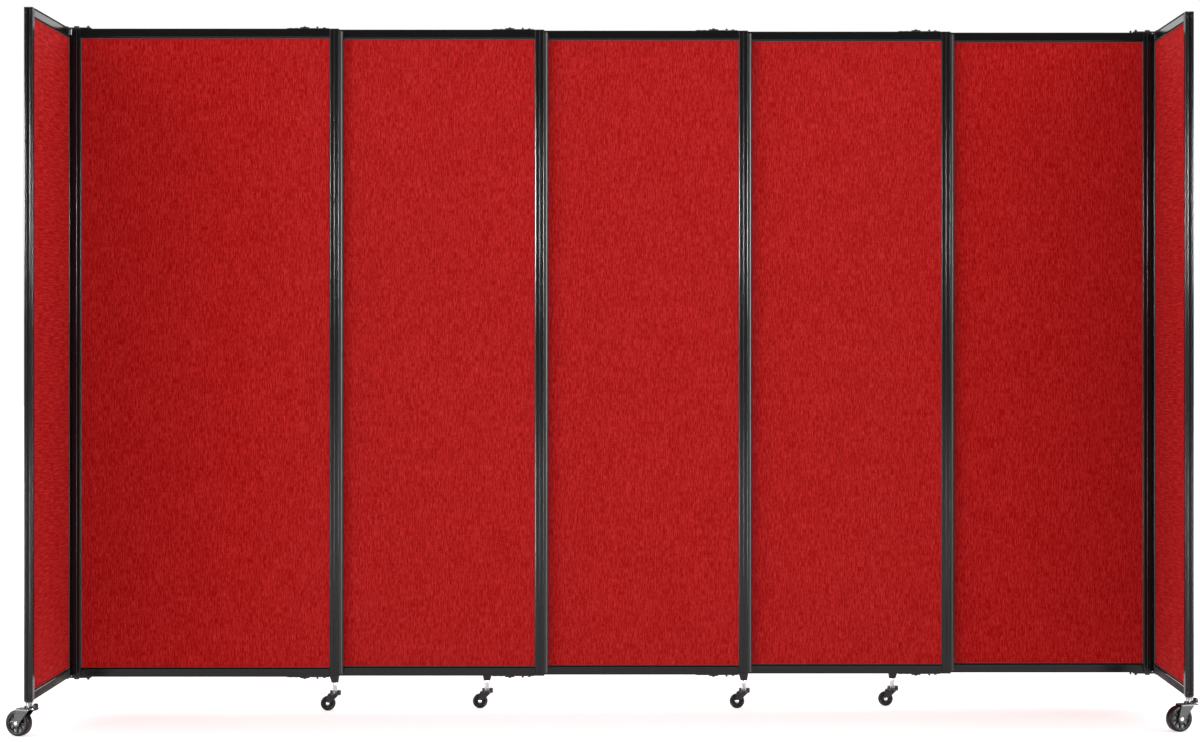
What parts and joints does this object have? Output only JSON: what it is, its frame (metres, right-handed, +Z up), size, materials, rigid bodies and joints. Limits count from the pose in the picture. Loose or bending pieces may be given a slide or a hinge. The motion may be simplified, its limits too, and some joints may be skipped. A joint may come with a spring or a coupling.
{
  "type": "sliding room divider",
  "caption": "Telescoping room divider: framed fabric panels slide past each other on track guides, with hinged end panels and swivel casters.",
  "frame": {"origin": "on the floor under the middle of the middle panel", "axes": "+X along the wall to the right as seen from the front, +Y to the back, +Z up; the front faces -Y"},
  "size_m": [3.4319, 0.7394, 2.092],
  "materials": {
    "frame": "black anodised extrusion with a soft gloss",
    "fabric": "red woven panel fabric, stretched over the board",
    "core_board": "light fibreboard core, hidden behind the fabric",
    "guide": "black powder coated steel plates with black screws",
    "seal": "grey extruded rubber strip",
    "zinc": "bright zinc plated steel stem",
    "caster_black": "black pressed steel with bright axle ends",
    "caster_wheel": "black moulded wheel with a dull tread"
  },
  "bodies": {
    "panel_1": {"panel_1_stiles": "frame", "panel_1_rails": "frame", "panel_1_board": "core_board", "panel_1_fabric": "fabric", "panel_1_guides": "guide", "panel_1_edge_seal": "seal", "panel_1_caster_stems": "zinc", "left_hinge_plates": "guide", "left_hinge_bolts": "guide"},
    "panel_2": {"panel_2_stiles": "frame", "panel_2_rails": "frame", "panel_2_board": "core_board", "panel_2_fabric": "fabric", "panel_2_guides": "guide", "panel_2_edge_seal": "seal"},
    "panel_3": {"panel_3_stiles": "frame", "panel_3_rails": "frame", "panel_3_board": "core_board", "panel_3_fabric": "fabric", "panel_3_guides": "guide", "panel_3_edge_seal": "seal", "panel_3_caster_stems": "zinc"},
    "panel_4": {"panel_4_stiles": "frame", "panel_4_rails": "frame", "panel_4_board": "core_board", "panel_4_fabric": "fabric", "panel_4_guides": "guide", "panel_4_edge_seal": "seal"},
    "panel_5": {"panel_5_stiles": "frame", "panel_5_rails": "frame", "panel_5_board": "core_board", "panel_5_fabric": "fabric", "panel_5_guides": "guide", "panel_5_caster_stems": "zinc", "right_hinge_plates": "guide", "right_hinge_bolts": "guide"},
    "left_end_panel": {"left_end_stiles": "frame", "left_end_rails": "frame", "left_end_board": "core_board", "left_end_fabric": "fabric", "left_end_caster_stem": "zinc"},
    "right_end_panel": {"right_end_stiles": "frame", "right_end_rails": "frame", "right_end_board": "core_board", "right_end_fabric": "fabric", "right_end_caster_stem": "zinc"},
    "panel_1_right_caster_swivel": {"panel_1_right_caster_fork": "caster_black"},
    "panel_1_right_caster_wheel": {"panel_1_right_caster_wheel": "caster_wheel"},
    "panel_3_left_caster_swivel": {"panel_3_left_caster_fork": "caster_black"},
    "panel_3_left_caster_wheel": {"panel_3_left_caster_wheel": "caster_wheel"},
    "panel_3_right_caster_swivel": {"panel_3_right_caster_fork": "caster_black"},
    "panel_3_right_caster_wheel": {"panel_3_right_caster_wheel": "caster_wheel"},
    "panel_5_left_caster_swivel": {"panel_5_left_caster_fork": "caster_black"},
    "panel_5_left_caster_wheel": {"panel_5_left_caster_wheel": "caster_wheel"},
    "left_end_caster_swivel": {"left_end_caster_fork": "caster_black"},
    "left_end_caster_wheel": {"left_end_caster_wheel": "caster_wheel"},
    "left_end_caster_pedal": {"left_end_caster_pedal": "caster_black"},
    "right_end_caster_swivel": {"right_end_caster_fork": "caster_black"},
    "right_end_caster_wheel": {"right_end_caster_wheel": "caster_wheel"},
    "right_end_caster_pedal": {"right_end_caster_pedal": "caster_black"}
  },
  "joints": [
    {"name": "panel_2_slide", "type": "slide", "parent": "panel_3", "child": "panel_2", "axis": [1, 0, 0], "range_m": [0, 0.588]},
    {"name": "panel_1_slide", "type": "slide", "parent": "panel_2", "child": "panel_1", "axis": [1, 0, 0], "range_m": [0, 0.588]},
    {"name": "panel_4_slide", "type": "slide", "parent": "panel_3", "child": "panel_4", "axis": [-1, 0, 0], "range_m": [0, 0.588]},
    {"name": "panel_5_slide", "type": "slide", "parent": "panel_4", "child": "panel_5", "axis": [-1, 0, 0], "range_m": [0, 0.588]},
    {"name": "left_end_hinge", "type": "hinge", "parent": "panel_1", "child": "left_end_panel", "pos_m": [-1.6766, -0.058, 0], "axis": [0, 0, -1], "range_deg": [-9, 191]},
    {"name": "right_end_hinge", "type": "hinge", "parent": "panel_5", "child": "right_end_panel", "pos_m": [1.6766, 0.058, 0], "axis": [0, 0, 1], "range_deg": [-9, 191]},
    {"name": "panel_1_right_caster_swivel", "type": "hinge", "parent": "panel_1", "child": "panel_1_right_caster_swivel", "pos_m": [-0.8564, -0.058, 0], "axis": [0, 0, 1], "continuous": true},
    {"name": "panel_1_right_caster_roll", "type": "hinge", "parent": "panel_1_right_caster_swivel", "child": "panel_1_right_caster_wheel", "pos_m": [-0.8774, -0.058, 0.0225], "axis": [0, 1, 0], "continuous": true},
    {"name": "panel_3_left_caster_swivel", "type": "hinge", "parent": "panel_3", "child": "panel_3_left_caster_swivel", "pos_m": [-0.395, 0, 0], "axis": [0, 0, 1], "continuous": true},
    {"name": "panel_3_left_caster_roll", "type": "hinge", "parent": "panel_3_left_caster_swivel", "child": "panel_3_left_caster_wheel", "pos_m": [-0.416, 0, 0.0225], "axis": [0, 1, 0], "continuous": true},
    {"name": "panel_3_right_caster_swivel", "type": "hinge", "parent": "panel_3", "child": "panel_3_right_caster_swivel", "pos_m": [0.395, 0, 0], "axis": [0, 0, 1], "continuous": true},
    {"name": "panel_3_right_caster_roll", "type": "hinge", "parent": "panel_3_right_caster_swivel", "child": "panel_3_right_caster_wheel", "pos_m": [0.374, 0, 0.0225], "axis": [0, 1, 0], "continuous": true},
    {"name": "panel_5_left_caster_swivel", "type": "hinge", "parent": "panel_5", "child": "panel_5_left_caster_swivel", "pos_m": [0.8564, 0.058, 0], "axis": [0, 0, 1], "continuous": true},
    {"name": "panel_5_left_caster_roll", "type": "hinge", "parent": "panel_5_left_caster_swivel", "child": "panel_5_left_caster_wheel", "pos_m": [0.8354, 0.058, 0.0225], "axis": [0, 1, 0], "continuous": true},
    {"name": "left_end_caster_swivel", "type": "hinge", "parent": "left_end_panel", "child": "left_end_caster_swivel", "pos_m": [-1.66743, -0.64193, 0], "axis": [0, 0, 1], "continuous": true},
    {"name": "left_end_caster_roll", "type": "hinge", "parent": "left_end_caster_swivel", "child": "left_end_caster_wheel", "pos_m": [-1.69844, -0.63064, 0.038], "axis": [0.342, 0.9397, 0], "continuous": true},
    {"name": "left_end_caster_brake", "type": "hinge", "parent": "left_end_caster_swivel", "child": "left_end_caster_pedal", "pos_m": [-1.6491, -0.6486, 0.08], "axis": [0.342, 0.9397, 0], "range_deg": [0, 25]},
    {"name": "right_end_caster_swivel", "type": "hinge", "parent": "right_end_panel", "child": "right_end_caster_swivel", "pos_m": [1.66743, -0.52593, 0], "axis": [0, 0, 1], "continuous": true},
    {"name": "right_end_caster_roll", "type": "hinge", "parent": "right_end_caster_swivel", "child": "right_end_caster_wheel", "pos_m": [1.63642, -0.53721, 0.038], "axis": [-0.342, 0.9397, 0], "continuous": true},
    {"name": "right_end_caster_brake", "type": "hinge", "parent": "right_end_caster_swivel", "child": "right_end_caster_pedal", "pos_m": [1.68575, -0.51926, 0.08], "axis": [-0.342, 0.9397, 0], "range_deg": [0, 25]}
  ]
}
